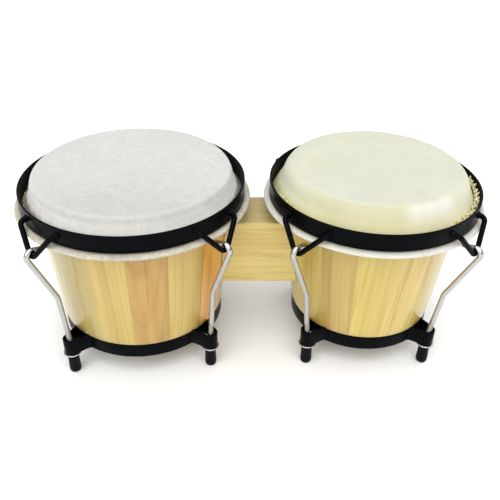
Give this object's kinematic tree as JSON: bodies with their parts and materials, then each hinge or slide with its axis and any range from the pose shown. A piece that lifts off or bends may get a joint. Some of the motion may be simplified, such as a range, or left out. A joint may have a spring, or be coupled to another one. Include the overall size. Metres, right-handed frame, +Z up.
{
  "type": "bongo drums",
  "caption": "Pair of tapered wooden hand drums joined by a block, with skin heads, steel rims, hooked tuning rods and rubber feet.",
  "frame": {"origin": "on the floor, at the middle of the bounding box in X and Y", "axes": "+X from the large drum to the small one, +Z up along both drums' axes; the player is at -Y"},
  "size_m": [0.421, 0.2094, 0.184],
  "materials": {
    "shell_wood_large": "gloss lacquer over pale yellow staves, some tan",
    "shell_wood_small": "gloss lacquer over pale yellow staves, some brown",
    "block_wood": "satin lacquer",
    "skin_large": "natural rawhide, matt, greyish white",
    "skin_small": "natural rawhide, matt, cream",
    "black_steel": "semi-gloss black powder coat",
    "chrome": "plated steel, slightly dulled",
    "zinc": "zinc plated",
    "rubber": "matt black rubber"
  },
  "bodies": {
    "drums": {"shell_large": "shell_wood_large", "head_large": "skin_large", "bottom_ring_large": "black_steel", "washer_large_front_left": "chrome", "washer_large_front_right": "chrome", "washer_large_back_right": "chrome", "washer_large_back_left": "chrome", "shell_small": "shell_wood_small", "head_small": "skin_small", "bottom_ring_small": "black_steel", "washer_small_front_left": "chrome", "washer_small_front_right": "chrome", "washer_small_back_right": "chrome", "washer_small_back_left": "chrome", "bridge_block": "block_wood", "bridge_bolt_large_upper": "zinc", "bridge_washer_large_upper": "zinc", "bridge_bolt_large_lower": "zinc", "bridge_washer_large_lower": "zinc", "bridge_bolt_small_upper": "zinc", "bridge_washer_small_upper": "zinc", "bridge_bolt_small_lower": "zinc", "bridge_washer_small_lower": "zinc"},
    "rim_large": {"rim_large": "black_steel", "flesh_ring_large": "zinc", "head_edge_large": "skin_large", "hook_large_front_left": "chrome", "hook_large_front_right": "chrome", "hook_large_back_right": "chrome", "hook_large_back_left": "chrome"},
    "rim_small": {"rim_small": "black_steel", "flesh_ring_small": "zinc", "head_edge_small": "skin_small", "hook_small_front_left": "chrome", "hook_small_front_right": "chrome", "hook_small_back_right": "chrome", "hook_small_back_left": "chrome"},
    "tuner_large_front_left": {"nut_large_front_left": "chrome", "foot_large_front_left": "rubber"},
    "tuner_large_front_right": {"nut_large_front_right": "chrome", "foot_large_front_right": "rubber"},
    "tuner_large_back_right": {"nut_large_back_right": "chrome", "foot_large_back_right": "rubber"},
    "tuner_large_back_left": {"nut_large_back_left": "chrome", "foot_large_back_left": "rubber"},
    "tuner_small_front_left": {"nut_small_front_left": "chrome", "foot_small_front_left": "rubber"},
    "tuner_small_front_right": {"nut_small_front_right": "chrome", "foot_small_front_right": "rubber"},
    "tuner_small_back_right": {"nut_small_back_right": "chrome", "foot_small_back_right": "rubber"},
    "tuner_small_back_left": {"nut_small_back_left": "chrome", "foot_small_back_left": "rubber"}
  },
  "joints": [
    {"name": "rim_large_slide", "type": "slide", "parent": "drums", "child": "rim_large", "axis": [0, 0, 1], "range_m": [-0.004, 0.002]},
    {"name": "rim_small_slide", "type": "slide", "parent": "drums", "child": "rim_small", "axis": [0, 0, 1], "range_m": [-0.004, 0.002]},
    {"name": "nut_large_front_left_turn", "type": "hinge", "parent": "drums", "child": "tuner_large_front_left", "pos_m": [-0.16572, -0.06796, 0.02], "axis": [0, 0, 1], "range_deg": [-901, 1801]},
    {"name": "nut_large_front_right_turn", "type": "hinge", "parent": "drums", "child": "tuner_large_front_right", "pos_m": [-0.03784, -0.05992, 0.02], "axis": [0, 0, 1], "range_deg": [-901, 1801]},
    {"name": "nut_large_back_right_turn", "type": "hinge", "parent": "drums", "child": "tuner_large_back_right", "pos_m": [-0.04589, 0.06796, 0.02], "axis": [0, 0, 1], "range_deg": [-901, 1801]},
    {"name": "nut_large_back_left_turn", "type": "hinge", "parent": "drums", "child": "tuner_large_back_left", "pos_m": [-0.17376, 0.05992, 0.02], "axis": [0, 0, 1], "range_deg": [-901, 1801]},
    {"name": "nut_small_front_left_turn", "type": "hinge", "parent": "drums", "child": "tuner_small_front_left", "pos_m": [0.05429, -0.05671, 0.02], "axis": [0, 0, 1], "range_deg": [-901, 1801]},
    {"name": "nut_small_front_right_turn", "type": "hinge", "parent": "drums", "child": "tuner_small_front_right", "pos_m": [0.16771, -0.05671, 0.02], "axis": [0, 0, 1], "range_deg": [-901, 1801]},
    {"name": "nut_small_back_right_turn", "type": "hinge", "parent": "drums", "child": "tuner_small_back_right", "pos_m": [0.16771, 0.05671, 0.02], "axis": [0, 0, 1], "range_deg": [-901, 1801]},
    {"name": "nut_small_back_left_turn", "type": "hinge", "parent": "drums", "child": "tuner_small_back_left", "pos_m": [0.05429, 0.05671, 0.02], "axis": [0, 0, 1], "range_deg": [-901, 1801]}
  ],
  "couplings": [
    {"joint": "nut_large_front_left_turn", "follows": "rim_large_slide", "rad_per_m": -7854},
    {"joint": "nut_large_front_right_turn", "follows": "rim_large_slide", "rad_per_m": -7854},
    {"joint": "nut_large_back_right_turn", "follows": "rim_large_slide", "rad_per_m": -7854},
    {"joint": "nut_large_back_left_turn", "follows": "rim_large_slide", "rad_per_m": -7854},
    {"joint": "nut_small_front_left_turn", "follows": "rim_small_slide", "rad_per_m": -7854},
    {"joint": "nut_small_front_right_turn", "follows": "rim_small_slide", "rad_per_m": -7854},
    {"joint": "nut_small_back_right_turn", "follows": "rim_small_slide", "rad_per_m": -7854},
    {"joint": "nut_small_back_left_turn", "follows": "rim_small_slide", "rad_per_m": -7854}
  ]
}
